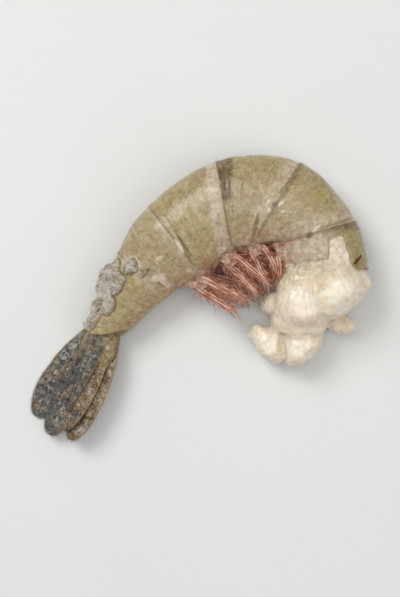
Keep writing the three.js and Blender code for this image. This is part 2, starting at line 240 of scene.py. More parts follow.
def spline(points, share):
    """Points of a centripetal Catmull-Rom curve at shares from 0 to 1, one row for each."""
    points = np.asarray(points, float)
    share = np.atleast_1d(np.asarray(share, float))
    last = len(points) - 1
    padded = np.vstack([2 * points[0] - points[1], points, 2 * points[-1] - points[-2]])
    place = np.clip(share, 0, 1) * last
    first = np.minimum(place.astype(int), last - 1)
    x = (place - first)[:, None]
    p0, p1, p2, p3 = (padded[first + k] for k in range(4))

    def knot(a, b):
        return np.maximum(np.sum((a - b) ** 2, axis=1, keepdims=True) ** 0.25, 1e-4)

    d0, d1, d2 = knot(p0, p1), knot(p1, p2), knot(p2, p3)
    t1 = ((p1 - p0) / d0 - (p2 - p0) / (d0 + d1) + (p2 - p1) / d1) * d1
    t2 = ((p2 - p1) / d1 - (p3 - p1) / (d1 + d2) + (p3 - p2) / d2) * d1
    square = -3 * p1 + 3 * p2 - 2 * t1 - t2
    cube = 2 * p1 - 2 * p2 + t1 + t2
    return p1 + x * (t1 + x * (square + x * cube))


def mix(a, b, share):
    return a + (b - a) * share


def smooth(x, low, high):
    """0 at `low`, 1 at `high`, and a smooth step between them. `low` may be above `high`."""
    x = np.clip((np.asarray(x, float) - low) / (high - low), 0, 1)
    return x * x * (3 - 2 * x)


def bell(x, half):
    """1 at 0, and next to nothing beyond twice `half` either way."""
    return np.exp(-((x / half) ** 2))


def powered(x, power):
    """A power of x that keeps its sign."""
    return np.sign(x) * np.abs(x) ** power


def unit(vectors):
    return vectors / np.maximum(np.linalg.norm(vectors, axis=-1, keepdims=True), 1e-9)


def stacked(*parts):
    """Joins arrays that broadcast together into one array of vectors."""
    return np.stack(np.broadcast_arrays(*parts), axis=-1)


def body_point(t, u, v):
    """Places of the abdomen: t counts the joints from the cut front, u is 1 on the ridge of
    the back and -1 at the shell's lower edge, and v is 1 on the flank that faces up."""
    t, u, v = np.broadcast_arrays(*(np.atleast_1d(np.asarray(x, float)) for x in (t, u, v)))
    share = t.ravel() / RINGS
    back, belly = spline(BACK, share), spline(BELLY, share)
    size = spline(HALF_WIDTH_AND_HEIGHT, share)
    rise = ((1 + u.ravel()) / 2)[:, None]
    plan = belly + (back - belly) * rise
    height = size[:, 1] + size[:, 0] * v.ravel()
    return np.column_stack([plan, height]).reshape(t.shape + (3,))


def half_section(around, keel=0.0, recess=1.0, oval=0.0):
    """u and v at shares of the way from the ridge (0) round a flank to mid-belly (1). The
    belly is hollow by `recess`, and the whole is drawn towards an oval by `oval`."""
    angle = np.linspace(0, SECTION_ARC_END, 80)
    ridge = keel * bell(angle, KEEL_HALF)
    arc = np.column_stack([np.cos(angle) + ridge, np.sin(angle) ** SECTION_FULLNESS])
    low = [arc[-9], arc[-1], (-0.82, 0.72), (-1, 0.56), (mix(-0.99, -0.93, recess), 0.46)]
    low += [(mix(-0.99, -0.72, recess), 0.33), (mix(-1, -0.74, recess), 0.02), (mix(-1, -0.74, recess), 0)]
    line = np.vstack([arc, spline(low, np.linspace(1 / 7, 1, 90)[1:])])
    run = np.concatenate([[0], np.cumsum(np.linalg.norm(np.diff(line, axis=0), axis=1))])
    run /= run[-1]
    u = mix(np.interp(around, run, line[:, 0]), np.cos(math.pi * around), oval)
    v = mix(np.interp(around, run, line[:, 1]), np.sin(math.pi * around) ** SECTION_FULLNESS, oval)
    return u, v


def keel_at(t):
    """How far the ridge of the back stands out at t, as a share of half the body's depth."""
    return KEEL * float(smooth(t, *KEEL_GROWS))


# ---- Meshes ----------------------------------------------------------------------------------

def fractal(points, scale, octaves=3):
    """Smooth noise, about -1 to 1, at each point, with features `scale` millimetres wide."""
    flat = points.reshape(-1, 3) / scale
    found = [noise.fractal(Vector(p), 0.9, 2.1, octaves, noise_basis="PERLIN_ORIGINAL") for p in flat]
    return np.array(found).reshape(points.shape[:-1])


def to_part_frame(points):
    """From the construction's millimetres to the part's own metres, flattened on its rest."""
    moved = points - np.array([PLAN_MIDDLE[0], PLAN_MIDDLE[1], FLAT_SPOT])
    moved[..., 2] = np.maximum(moved[..., 2], 0.0)
    return moved * MM


def placed(name, data):
    """A new object that holds `data`, linked into the scene."""
    made = bpy.data.objects.new(name, data)
    bpy.context.scene.collection.objects.link(made)
    return made


def new_piece(name, points, faces, material, slot, **attributes):
    """A smooth closed mesh that rides on the root and takes its finish from `material`. `slot` is not used.
    """
    mesh = bpy.data.meshes.new(name)
    mesh.from_pydata(to_part_frame(points.reshape(-1, 3)).tolist(), [], faces)
    shape = bmesh.new()
    shape.from_mesh(mesh)
    bmesh.ops.recalc_face_normals(shape, faces=shape.faces)
    shape.to_mesh(mesh)
    shape.free()
    mesh.shade_smooth()
    for key, values in attributes.items():
        held = mesh.attributes.new(key, "FLOAT_VECTOR", "POINT")
        held.data.foreach_set("vector", np.asarray(values, np.float32).ravel())
    mesh.materials.append(material)
    piece = placed(name, mesh)
    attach(piece, "root")
    return piece


def tube_faces(rows, columns, wrap_rows=False):
    """Quads over a grid that closes round its columns, and round its rows too if asked."""
    faces = []
    for i in range(rows if wrap_rows else rows - 1):
        below = ((i + 1) % rows) * columns
        above = i * columns
        for k in range(columns):
            after = (k + 1) % columns
            faces.append((above + k, above + after, below + after, below + k))
    return faces


def closed_tube_faces(rows, columns):
    last = (rows - 1) * columns
    ends = [tuple(range(columns)), tuple(last + k for k in range(columns))]
    return tube_faces(rows, columns) + ends


def slab_faces(rows, columns):
    """A closed slab between a top grid and, after it in the points, a bottom grid."""
    under = rows * columns
    faces = []
    for i in range(rows - 1):
        for k in range(columns - 1):
            quad = (i * columns + k, i * columns + k + 1, (i + 1) * columns + k + 1, (i + 1) * columns + k)
            faces += [quad, tuple(under + p for p in reversed(quad))]
    for i in range(rows - 1):
        for k in (0, columns - 1):
            a, b = i * columns + k, (i + 1) * columns + k
            faces.append((a, b, b + under, a + under))
    for k in range(columns - 1):
        for i in (0, rows - 1):
            a, b = i * columns + k, i * columns + k + 1
            faces.append((a, b, b + under, a + under))
    return faces


def grid_normals(grid):
    """Outward normals of a grid of points that closes round its columns."""
    around = np.roll(grid, -1, axis=1) - np.roll(grid, 1, axis=1)
    along = np.gradient(grid, axis=0)
    normals = unit(np.cross(around, along))
    outward = np.sum(normals * (grid - grid.mean(axis=1, keepdims=True)))
    return normals if outward > 0 else -normals


class Gathered:
    """Points, faces and places of several shapes that become one mesh."""

    def __init__(self):
        self.points, self.faces, self.places, self.count = [], [], [], 0

    def add(self, points, faces, place):
        self.points.append(points.reshape(-1, 3))
        self.faces += [tuple(k + self.count for k in face) for face in faces]
        self.places.append(np.broadcast_to(place, points.shape).reshape(-1, 3))
        self.count += points.size // 3

    def add_tube(self, grid, place=(0, 0, 0)):
        self.add(grid, closed_tube_faces(*grid.shape[:2]), place)

    def add_hairs(self, roots, ways, lengths, radius, place):
        """A thin three-sided spike at each root."""
        side = unit(np.cross(ways, np.array([0.3, 0.2, 0.93])))
        other = np.cross(ways, side)
        turns = [(1, 0), (-0.5, 0.87), (-0.5, -0.87)]
        corners = [roots + radius * (side * a + other * b) for a, b in turns]
        points = np.stack(corners + [roots + ways * lengths[:, None]], axis=1)
        spike = [(0, 1, 3), (1, 2, 3), (2, 0, 3), (2, 1, 0)]
        faces = [tuple(4 * k + corner for corner in face) for k in range(len(roots)) for face in spike]
        self.add(points, faces, place)

    def piece(self, name, material, slot):
        points, places = np.concatenate(self.points), np.concatenate(self.places)
        return new_piece(name, points, self.faces, material, slot, place=places)


# ---- The shell rings -------------------------------------------------------------------------

HALF_COUNT = 80
LONG_ROWS, RIM_ROWS, LIP_ROWS = 46, 22, 5
RIM_START = 0.86


def ring_columns(half_count=HALF_COUNT):
    """For each column round a ring: its share of the way from the ridge, and its flank."""
    columns = 2 * half_count - 2
    k = np.arange(columns)
    half = np.where(k < half_count, k, columns - k)
    return half / (half_count - 1), np.where(k < half_count, -1.0, 1.0)


def torn_front(around, side):
    """How far back the first ring's front edge is torn: a wide notch on the upper flank."""
    ragged = fractal(stacked(around * 16, side * 3, 0.5), 1.0, 3)
    jagged = fractal(stacked(around * 40, side * 3, 4.5), 1.0, 2)

    def tear(place, depth, starts, ends):
        return depth * smooth(place, *starts) * smooth(place, *ends)

    notch = tear(around + 0.02 * ragged, **TORN_NOTCH) * (side > 0)
    torn = np.maximum(notch, tear(around, **TORN_FLANK)) + 0.04
    torn += (0.06 * ragged + 0.05 * jagged) * (notch > 0.1) + 0.06 * ragged + 0.03 * jagged
    return np.clip(torn, 0.0, 0.82)


def ring_end(n, around):
    """The t of ring n's rear margin. The last one is hollowed at the back and at the belly."""
    return n - TAIL_HOLLOW * smooth(np.abs(around - 0.42), 0.05, 0.42) * (n == RINGS)


def ring_grid(n):
    """Points of ring n's plain outer face and each point's t. Then the columns' places round the
    section and flanks, and the rows' shares of the way back."""
    around, side = ring_columns()
    start = torn_front(around, side) if n == 1 else np.full(around.shape, n - 1 - RING_TUCK)
    end = ring_end(n, around)
    shares = np.concatenate([np.linspace(0, RIM_START, LONG_ROWS), np.linspace(RIM_START, 1, RIM_ROWS)[1:]])
    grid = np.zeros((len(shares), len(around), 3))
    t = mix(start[None], end[None], shares[:, None])
    for i, s in enumerate(shares):
        size = mix(FRONT_PINCH, 1, smooth(s, 0, 0.3)) * mix(1, REAR_FLARE, smooth(s, 0.55, 1))
        last = float(n == RINGS)
        rounding = (1 - last) * LOBE_ROUND * abs(2 * s - 1) ** 3
        recess = 1 - last * float(smooth(s, 0, 0.5))
        u, v = half_section(around, keel_at(t[i, 0]), recess, last * float(smooth(s, 0.3, 1)))
        u = np.where(u < -0.5, (u + 0.5) * (1 - 2 * rounding) - 0.5, u)
        grid[i] = body_point(t[i], u * size, v * side * size)
    return grid, t, around, side, shares[:, None]


def hinge_distances(grid, joint, ahead=HINGE_BEFORE_JOINT):
    """Millimetres from each point to the knob that a joint turns on, just before the joint. Only
    the flank that faces down has these knobs."""
    u, v = half_section(HINGE_AROUND)
    return np.linalg.norm(grid - body_point(joint - ahead, u, -v), axis=-1)


def joint_distances(grid, t, n):
    """Millimetres along the shell from each point to the joint in front and the one behind."""
    steps = np.linalg.norm(np.diff(grid, axis=0), axis=-1)
    run = np.vstack([np.zeros((1, grid.shape[1])), np.cumsum(steps, axis=0)])
    nearest = np.argmin(np.abs(t - (n - 1)), axis=0)
    at_joint = run[nearest, np.arange(grid.shape[1])]
    return run - at_joint, run[-1] - run


def shell_tint(n, grid, t, around, side):
    """Each point's shares of dark, pale and olive."""
    ahead, behind = joint_distances(grid, t, n)
    wobble = fractal(grid, 2.6, 4)
    dark, pale = np.zeros(t.shape), np.zeros(t.shape)
    if n > 1:
        band = BANDS[n - 1]
        width = band["pale_width"] * mix(0.85, 1.15, smooth(around, 0, 0.5))
        pale = band["pale"] * smooth(ahead + 1.1 * wobble, width + 0.8, width - 0.6)
        dark = 0.9 * smooth(hinge_distances(grid, n - 1, -HINGE_BEFORE_JOINT), 0.75, 0.35)
    if n < RINGS:
        band = BANDS[n]
        above_hinge = smooth(around + 0.04 * wobble, HINGE_AROUND + 0.04, HINGE_AROUND - 0.04)
        width = band["dark_width"] * mix(1.0, 0.55, smooth(around, 0.12, 0.45))
        rear = smooth(behind + 0.7 * wobble, width + 0.7, width - 0.7) * above_hinge
        thin = 0.6 * smooth(behind, 0.7, 0.2)
        far = hinge_distances(grid, n)
        dark = np.maximum(dark, np.maximum(band["dark"] * rear, thin))
        pale = np.maximum(pale, 0.9 * smooth(np.abs(far - 1.1) + 0.3 * wobble, 0.6, 0.2))
        dark = np.where(far < 1.5, dark * smooth(far, 0.9, 1.5), dark)
        dark = np.maximum(dark, smooth(far, 0.65, 0.35))
    shade = fractal(grid + 30, 4.5, 3)
    olive = mix(OLIVE_BACK[n], OLIVE_FLANK[n], smooth(around + 0.06 * shade, 0.24, 0.5)) + 0.25 * shade
    if n == 1:
        pale = np.maximum(pale, 0.95 * smooth(around, 0.40, 0.47))
    tint = stacked(dark, pale, np.clip(olive, 0, 1))
    for middle, half, degrees, mark in MARKS:
        turn = math.radians(degrees)
        offset = grid[..., :2] - middle
        along = offset @ (math.cos(turn), math.sin(turn)) / half[0]
        across = offset @ (-math.sin(turn), math.cos(turn)) / half[1]
        far = np.hypot(along, across) + 0.35 * wobble
        share = smooth(far, 1.25, 0.75) * smooth(around, *MARKS_FADE) * (side > 0)
        tint = mix(tint, np.array(mark), share[..., None])
    return tint


def shell_relief(n, grid, shares, around, side, t):
    """How far the shell stands out from its plain form, in millimetres."""
    relief = 0.20 * fractal(grid, 6.0, 2) + 0.04 * fractal(grid + 40, 1.7, 3)
    relief += 0.04 * smooth(shares, 0.94, 0.98) - 0.05 * bell(shares - 0.915, 0.02)
    stripes = fractal(stacked(t * 30, around * 4.0, side * 2.0 + n), 1.0, 3)
    relief += stripes * mix(0.025, 0.06, smooth(shares, 0.6, 0.95)) * smooth(around, 0.06, 0.2)
    if n < RINGS:
        far = hinge_distances(grid, n)
        knob = HINGE_KNOB["height"] * bell(far, HINGE_KNOB["half"])
        relief += knob - HINGE_KNOB["pit"] * bell(far, HINGE_KNOB["pit_half"])
    return relief


def shell_ring(n, material):
    """Ring n as a closed wall: outer skin, rounded rear lip and inner skin."""
    grid, t, around, side, shares = ring_grid(n)
    tint = shell_tint(n, grid, t, around, side)
    normals = grid_normals(grid)
    outer = grid + normals * shell_relief(n, grid, shares, around, side, t)[..., None]
    ahead = unit(grid[-1] - grid[-2])
    lip = []
    for angle in np.linspace(0, math.pi, LIP_ROWS + 2)[1:-1]:
        turn = normals[-1] * (math.cos(angle) - 1) + ahead * math.sin(angle)
        lip.append(outer[-1] + turn * SHELL_THICKNESS / 2)
    inner = (outer - normals * SHELL_THICKNESS)[::-3]
    skin = np.concatenate([outer, np.array(lip), inner])

    def carried(values):
        return np.concatenate([values, np.repeat(values[-1:], len(lip), axis=0), values[::-3]])

    place = stacked(t, around * side, t - (n - 1))
    faces = tube_faces(*skin.shape[:2], wrap_rows=True)
    attributes = dict(place=carried(place), tint=carried(tint))
    return new_piece(f"shell_ring_{n}", skin, faces, material, "shell", **attributes)


def blood_streak(material):
    """The dark red thread on the first ring, laid on the shell."""
    s = np.linspace(0, 1, 40)
    plan = spline(BLOOD_STREAK, s)
    plan += 0.07 * np.column_stack([np.sin(s * 9), np.cos(s * 13)])
    t, u = np.meshgrid(np.linspace(0, 1, 120), np.linspace(0, 1, 120), indexing="ij")
    around = 0.05 + 0.4 * u
    grid = body_point(t, *half_section(around))
    nearest = [np.argmin(np.sum((grid[..., :2] - p).reshape(-1, 2) ** 2, axis=1)) for p in plan]
    path = np.column_stack([plan, grid.reshape(-1, 3)[nearest, 2]])
    path[:, 2] = np.convolve(np.pad(path[:, 2], 3, "edge"), np.ones(7) / 7, "valid") + 0.12
    width = 0.34 * np.sin(math.pi * mix(0.04, 0.97, s)) ** 0.6
    made = Gathered()
    grid = limb_grid(path, np.array([0.6, -0.6, 0.3]), width, width * 0.6, 14)[0]
    made.add_tube(grid, (0, 0, BLOOD))
    return made.piece("blood_streak", material, "legs")


# ---- The body inside the shell ---------------------------------------------------------------

def inner_body(material):
    """The muscle and belly skin inside the rings, with a cross ridge at each belly plate."""
    t = np.linspace(*BELLY_SKIN["ends"], 170)[:, None]
    around, side = ring_columns(50)
    last = (t - RINGS + 1 + RING_TUCK) / (1 + RING_TUCK)
    recess = BELLY_SKIN["recess"] * (1 - smooth(last, 0, 0.5))
    sections = [half_section(around, 0, *shape) for shape in zip(recess[:, 0], smooth(last, 0.3, 1)[:, 0])]
    u, v = np.array(sections).transpose(1, 0, 2)
    u = u - BELLY_SKIN["bulge"] * smooth(around, 0.78, 0.95) * (1 - smooth(t, *BELLY_SKIN["flattens"]))
    size = BELLY_SKIN["size"] * np.sqrt(np.clip(1 - smooth(t, 5.85, 6.06) ** 2, 0.02, 1))
    grid = body_point(t, u * size, v * side * size)
    ridges = BELLY_SKIN["ridge"] * np.cos(2 * math.pi * t) * smooth(around, 0.7, 0.85)
    relief = ridges + 0.12 * fractal(grid, 1.5, 3)
    grid = grid + grid_normals(grid) * relief[..., None]
    made = Gathered()
    made.add_tube(grid, stacked(ridges, around, t))
    return made.piece("inner_body", material, "flesh")


# ---- Limbs: tapering tubes with a flat section -----------------------------------------------

def limb_grid(path, wide, half_width, half_thickness, sides):
    """Rings of points along `path`; `wide` is the way of their longer axis. Also gives each
    column's angle and each row's unit vector through the thickness."""
    along = unit(np.gradient(path, axis=0))
    across = unit(wide - along * np.sum(along * wide, axis=1, keepdims=True))
    thick = np.cross(along, across)
    angle = np.linspace(0, 2 * math.pi, sides, endpoint=False)
    flat = across[:, None] * np.cos(angle)[:, None] * np.reshape(half_width, (-1, 1, 1))
    deep = thick[:, None] * np.sin(angle)[:, None] * np.reshape(half_thickness, (-1, 1, 1))
    return path[:, None] + flat + deep, angle, thick


def fringe(path, grid, first, hair):
    """Roots, ways and lengths of hairs along both edges of a flat limb, from share `first` on."""
    s = np.linspace(0, 1, len(path))
    count = int(np.linalg.norm(path[-1] - path[0]) * (1 - first) * hair["per_mm"])
    at = np.linspace(first, HAIR_ROOT["last"], count)

    def sampled(line):
        return np.column_stack([np.interp(at, s, values) for values in line.T])

    middle, ahead = sampled(path), unit(sampled(np.gradient(path, axis=0)))
    lean = mix(*HAIR_ROOT["lean"], at)[:, None]
    roots, ways = [], []
    for column in (0, grid.shape[1] // 2):
        edge = sampled(grid[:, column])
        outward = unit(edge - middle)
        ways.append(unit(outward + ahead * lean + RANDOM.normal(0, hair["spread"], outward.shape)))
        roots.append(edge - outward * HAIR_ROOT["inside"])
    lengths = hair["length"] * RANDOM.uniform(HAIR_ROOT["shortest"], 1.0, 2 * count)
    return np.concatenate(roots), np.concatenate(ways), lengths, hair["radius"]


# ---- The swimming legs -----------------------------------------------------------------------

BLOOD, STALK, BRANCH, HAIR = -1, 0, 1, 2


def way(degrees, rise):
    """A unit vector that points this way in plan and rises by this share."""
    angle = math.radians(degrees)
    return unit(np.array([math.cos(angle), math.sin(angle), rise]))


def leg_stalk(root, knee, wide):
    """The stout first part of a leg, waisted near its root, with long folds. Gives its grid
    of points and each point's place: millimetres along, share across, and what it is."""
    s = np.linspace(0, 1, 60)
    path = root + (knee - root) * s[:, None] + 0.3 * np.sin(math.pi * s)[:, None] * wide
    fold = 0.08 * bell(s - 0.6, 0.05)
    swell = mix(1, LEG_STALK["waist"], smooth(s, 0.4, 0.9)) * (1 - fold - 0.35 * smooth(s, 0.8, 1))
    half_width, half_thickness = (LEG_STALK[key] * swell for key in ("half_width", "half_thickness"))
    grid, angle, _ = limb_grid(path, wide, half_width, half_thickness, 44)
    folds = 0.15 * np.cos(5 * angle) * smooth(s, 0.05, 0.3)[:, None] + 0.16 * fractal(grid, 1.2, 3)
    grid = grid + folds[..., None] * unit(grid - path[:, None])
    length = np.linalg.norm(knee - root)
    return grid, stacked(s[:, None] * length, np.cos(angle), float(STALK))


def leg_branch(start, end, outward, bow):
    """A narrow blade of fine rings with one or two long ribs and a blunt end, bent by `bow`."""
    s = np.linspace(0, 1, 130)
    x = s[:, None]
    length = np.linalg.norm(end - start)
    path = mix(start, end, x) + np.sin(math.pi * x) * bow + 0.12 * np.sin(x * 9) * outward
    taper = mix(0.85, 1, smooth(s, 0, 0.2)) * mix(1, 0.72, s) * np.sqrt(1 - (0.99 * s) ** 12)
    ringed = 1 + 0.03 * np.sin(s * length * 2 * math.pi / 0.55)
    width = LEG_BRANCH["half_width"] * taper * ringed * RANDOM.uniform(0.75, 1.15)
    thickness = LEG_BRANCH["half_thickness"] * mix(1, 0.7, s) * ringed
    grid, angle, thick = limb_grid(path, outward, width, thickness, 40)
    across = np.cos(angle) + RANDOM.uniform(-0.5, 0.5)
    ribs = -0.13 * np.cos(RIB_WAVES * across) * powered(np.sin(angle), 0.5)
    grid = grid + thick[:, None] * (ribs + 0.14 * fractal(grid, 1.6, 3))[..., None]
    return path, grid, stacked(x * length, across, float(BRANCH))


def swimming_leg(leg, side, material):
    """A stalk and two narrow blades side by side, fringed with long hairs."""
    name = "upper" if side > 0 else "lower"
    hang = way(leg[name], side * LEG_RISE)
    wide = unit(np.array([-hang[1], hang[0], 0.0]))
    up = np.array([0, 0, 1.0])
    t = leg["ring"] - LEG_ROOT["before_joint"]
    root = body_point(t, LEG_ROOT["u"], side * LEG_ROOT["v"])[0]
    knee = root + hang * leg["stalk"]
    made = Gathered()
    made.add_tube(*leg_stalk(root - hang * LEG_ROOT["inside"], knee, wide))
    for spread in (-1, 1):
        start = knee - hang * LEG_BRANCH["overlap"] + wide * spread * LEG_BRANCH["half_width"]
        start += up * 0.2 * spread
        length = leg["branch"] * (1 if spread > 0 else LEG_BRANCH["shorter"]) + LEG_BRANCH["overlap"]
        end = start + way(leg[name] + spread * LEG_BRANCH["splay"], side * 0.1) * length
        bow = wide * spread * LEG_BOW["out"] + up * side * LEG_BOW["up"]
        bow += RANDOM.normal(0, LEG_BOW["uneven"], 3)
        path, grid, place = leg_branch(start, end, wide * spread, bow)
        made.add_tube(grid, place)
        for hair in (LEG_HAIR, LEG_TUFT):
            made.add_hairs(*fringe(path, grid, 0.05, hair), (0.5, 0, HAIR))
    return made.piece(f"swimming_leg_{leg['ring']}_{name}", material, "legs")


# ---- The tail fan ----------------------------------------------------------------------------

FAN_ALONG = np.array([math.cos(FAN_HEADING), math.sin(FAN_HEADING), 0.0])
FAN_FLAT_UP = np.array([FAN_ALONG[1], -FAN_ALONG[0], 0.0])
FAN_UP = FAN_FLAT_UP * math.cos(FAN_TWIST) + np.array([0, 0, math.sin(FAN_TWIST)])
FAN_ACROSS = np.cross(FAN_ALONG, FAN_UP)
HAIR_PLACE = -9.0
BLADE_APART = 20.0
FIRST_UPPER_BLADE = 3


def fan_path(length, out, splay, rise, fall, s):
    """The middle line of a blade that starts `out` beside the tail joint and splays from there."""
    end = out + math.tan(math.radians(splay)) * length
    stops = [
        (-1.5, out * 0.6, rise),
        (length * 0.3, mix(out, end, 0.35), rise),
        (length * 0.65, mix(out, end, 0.75), rise + fall * 0.4),
        (length, end, rise + fall),
    ]
    local = spline(stops, s)
    start = np.array([*FAN_START, FAN_HEIGHT])
    return start + local[:, :1] * FAN_ALONG + local[:, 1:2] * FAN_ACROSS + local[:, 2:] * FAN_UP


def laid_on_floor(grid):
    """Lifts what would reach below the rest, top and bottom alike, so that a blade lies on it."""
    mirrored = -np.arange(grid.shape[1]) % grid.shape[1]
    middle = (grid + grid[:, mirrored])[..., 2] / 2
    half = np.abs(grid - grid[:, mirrored])[..., 2] / 2
    short = FLAT_SPOT + BLADE_REST["clear"] + half - middle
    ease = BLADE_REST["ease"]
    lifted = grid.copy()
    lifted[..., 2] += ease * np.log1p(np.exp(np.clip(short / ease, -30, 30)))
    return lifted


def blade(name, path, half_width, half_thickness, ribs, number, material):
    """A thin pointed blade with raised ribs, a thick rim and a fringe of hairs. Its place
    holds millimetres along and across, and the share of the way to the rim plus its number."""
    s = np.linspace(0, 1, len(path))[:, None]
    grid, angle, thick = limb_grid(path, FAN_ACROSS, half_width, half_thickness, 88)
    across = np.cos(angle)
    lift = np.zeros(grid.shape[:2])
    for rib, height, width in ribs:
        lift += height * bell(across - rib, width) * mix(1, 0.25, s)
    lift += 0.12 * bell(np.abs(across) - 0.93, 0.05)
    lift += 0.12 * fractal(grid, 1.3, 3) + 0.035 * np.sin(across * 38 + s * 3)
    grid = grid + thick[:, None] * (lift * powered(np.sin(angle), 0.4))[..., None]
    cup = 0.35 * across ** 2 * smooth(s, 0.1, 0.5) + 0.35 * fractal(grid * (1, 1, 0) + number * 20, 6.0, 2)
    grid = laid_on_floor(grid - FAN_UP * cup[..., None])
    length = np.linalg.norm(path[-1] - path[0])
    made = Gathered()
    width_mm = np.reshape(half_width, (-1, 1)) * across
    made.add_tube(grid, stacked(s * length, width_mm + BLADE_APART * number, np.abs(across)))
    made.add_hairs(*fringe(path, grid, 0.45, FAN_HAIR), (0, 0, HAIR_PLACE))
    return made.piece(name, material, "tail_fan")


def telson(material):
    s = np.linspace(0, 1, 120)
    path = fan_path(TELSON["length"], 0, 0, 0.6, 0, s)
    ribs = [(-0.28, 0.28, 0.12), (0.28, 0.28, 0.12), (0.0, -0.35, 0.12)]
    taper = mix(1, 0.08, s ** 1.35)
    half_thickness = TELSON["thickness"] / 2 * mix(1, 0.3, s)
    return blade("telson", path, TELSON["half_width"] * taper, half_thickness, ribs, 0, material)


def uropod(number, leaf, material):
    """A side blade of the fan, broad and rounded at its end."""
    s = 1 - (1 - np.linspace(0, 1, 130)) ** 1.4
    out, splay = leaf["side"] * leaf["out"], leaf["side"] * leaf["splay"]
    path = fan_path(leaf["length"], out, splay, leaf["drop"], 0.6, s)
    grow = np.sin(math.pi / 2 * np.minimum(1, s / UROPOD_WIDEST))
    shrink = np.sqrt(1 - np.maximum(0, (s - UROPOD_WIDEST) / (1 - UROPOD_WIDEST)) ** UROPOD_TIP)
    share = np.maximum(mix(0.45, 1, grow) * shrink, 0.02)
    outer = leaf["name"].startswith("outer")
    ribs = [(0.1, 0.3, 0.07), (-0.35, 0.16, 0.06)] if outer else [(0.0, 0.28, 0.08)]
    half_thickness = UROPOD_THICKNESS / 2 * mix(1, 0.35, s)
    name = f"uropod_{leaf['name']}"
    return blade(name, path, leaf["half_width"] * share, half_thickness, ribs, number, material)


def uropod_stalk(side, material):
    s = np.linspace(0, 1, 40)
    path = fan_path(UROPOD_STALK["length"], side * UROPOD_STALK["out"], side * UROPOD_STALK["splay"],
                    UROPOD_STALK["drop"], 0, s)
    rounded = UROPOD_STALK["radius"] * np.sqrt(np.clip(1 - ((s - 0.45) / 0.6) ** 2, 0.05, 1))
    grid, angle, _ = limb_grid(path, FAN_ACROSS, rounded, 0.8 * rounded, 48)
    grid = grid + 0.18 * fractal(grid, 1.6, 3)[..., None] * unit(grid - path[:, None])
    made = Gathered()
    made.add_tube(laid_on_floor(grid), stacked(s[:, None] * 2, np.cos(angle) * 2 + 140, 0.5))
    return made.piece(f"uropod_stalk_{'lower' if side > 0 else 'upper'}", material, "tail_fan")


# ---- The bare muscle -------------------------------------------------------------------------

def lobe(middle, half, turn, rows=30, columns=40):
    """An ellipsoid with full shoulders as a closed tube of points, turned in plan."""
    polar = np.linspace(0.02, math.pi - 0.02, rows)[:, None]
    angle = np.linspace(0, 2 * math.pi, columns, endpoint=False)
    level = powered(np.cos(polar), LOBE_FULLNESS)
    reach = np.sin(polar) ** LOBE_FULLNESS
    local = stacked(reach * np.cos(angle), reach * np.sin(angle), level) * half
    c, s = math.cos(math.radians(turn)), math.sin(math.radians(turn))
    return local @ np.array([[c, s, 0], [-s, c, 0], [0, 0, 1]]) + middle


def muscle_plug():
    """The muscle that fills the first ring, as a closed tube."""
    around, side = ring_columns()
    u, v = half_section(around[::2])
    t = np.linspace(*MUSCLE_PLUG["ends"], 24)[:, None]
    return body_point(t, u * MUSCLE_PLUG["size"], v * side[::2] * MUSCLE_PLUG["size"])


def melted(shapes, grain):
    """Runs closed shapes together with voxels of `grain` millimetres. Gives points, faces, edges."""
    rough = bpy.data.meshes.new("rough")
    rough.from_pydata(np.concatenate(shapes.points).tolist(), [], shapes.faces)
    holder = placed("rough", rough)
    remesh = holder.modifiers.new("melt", "REMESH")
    remesh.mode = "VOXEL"
    remesh.voxel_size = grain
    mesh = bpy.data.meshes.new_from_object(holder.evaluated_get(bpy.context.evaluated_depsgraph_get()))
    bpy.data.objects.remove(holder)
    points = np.zeros(len(mesh.vertices) * 3)
    mesh.vertices.foreach_get("co", points)
    edges = np.array([tuple(edge.vertices) for edge in mesh.edges])
    return points.reshape(-1, 3), [tuple(face.vertices) for face in mesh.polygons], edges


def relaxed(points, edges, rounds):
    """Points drawn half way to the mean of their neighbours, again and again."""
    ends, others = np.concatenate([edges, edges[:, ::-1]]).T
    count = np.bincount(ends, minlength=len(points))
    for _ in range(rounds):
        total = [np.bincount(ends, points[others, k], len(points)) for k in range(3)]
        points = (points + np.column_stack(total) / count[:, None]) / 2
    return points


def vertex_normals(points, faces):
    """The mean normal at each point of a mesh of quads or triangles."""
    total = np.zeros_like(points)
    a, b, c = (np.array([face[k] for face in faces]) for k in range(3))
    flat = np.cross(points[b] - points[a], points[c] - points[a])
    for corner in (a, b, c):
        np.add.at(total, corner, flat)
    return unit(total)


def fibre_places(points):
    """Places in the fan of fibres: across them in plan, and along them and up shortened, so
    that noise laid out in these places is drawn out along the fibres."""
    offset = points[:, :2] - FIBRE_SOURCE
    across = FIBRE_SPREAD * np.arctan2(offset[:, 0], -offset[:, 1])
    along, up = FIBRE_SHORTENED
    return stacked(across, along * np.hypot(*offset.T), up * points[:, 2])


def far_from(points, middle, half):
    """How far each point is from an oval's middle in plan, in shares of its half sizes."""
    return np.linalg.norm((points[:, :2] - middle) / half, axis=1)


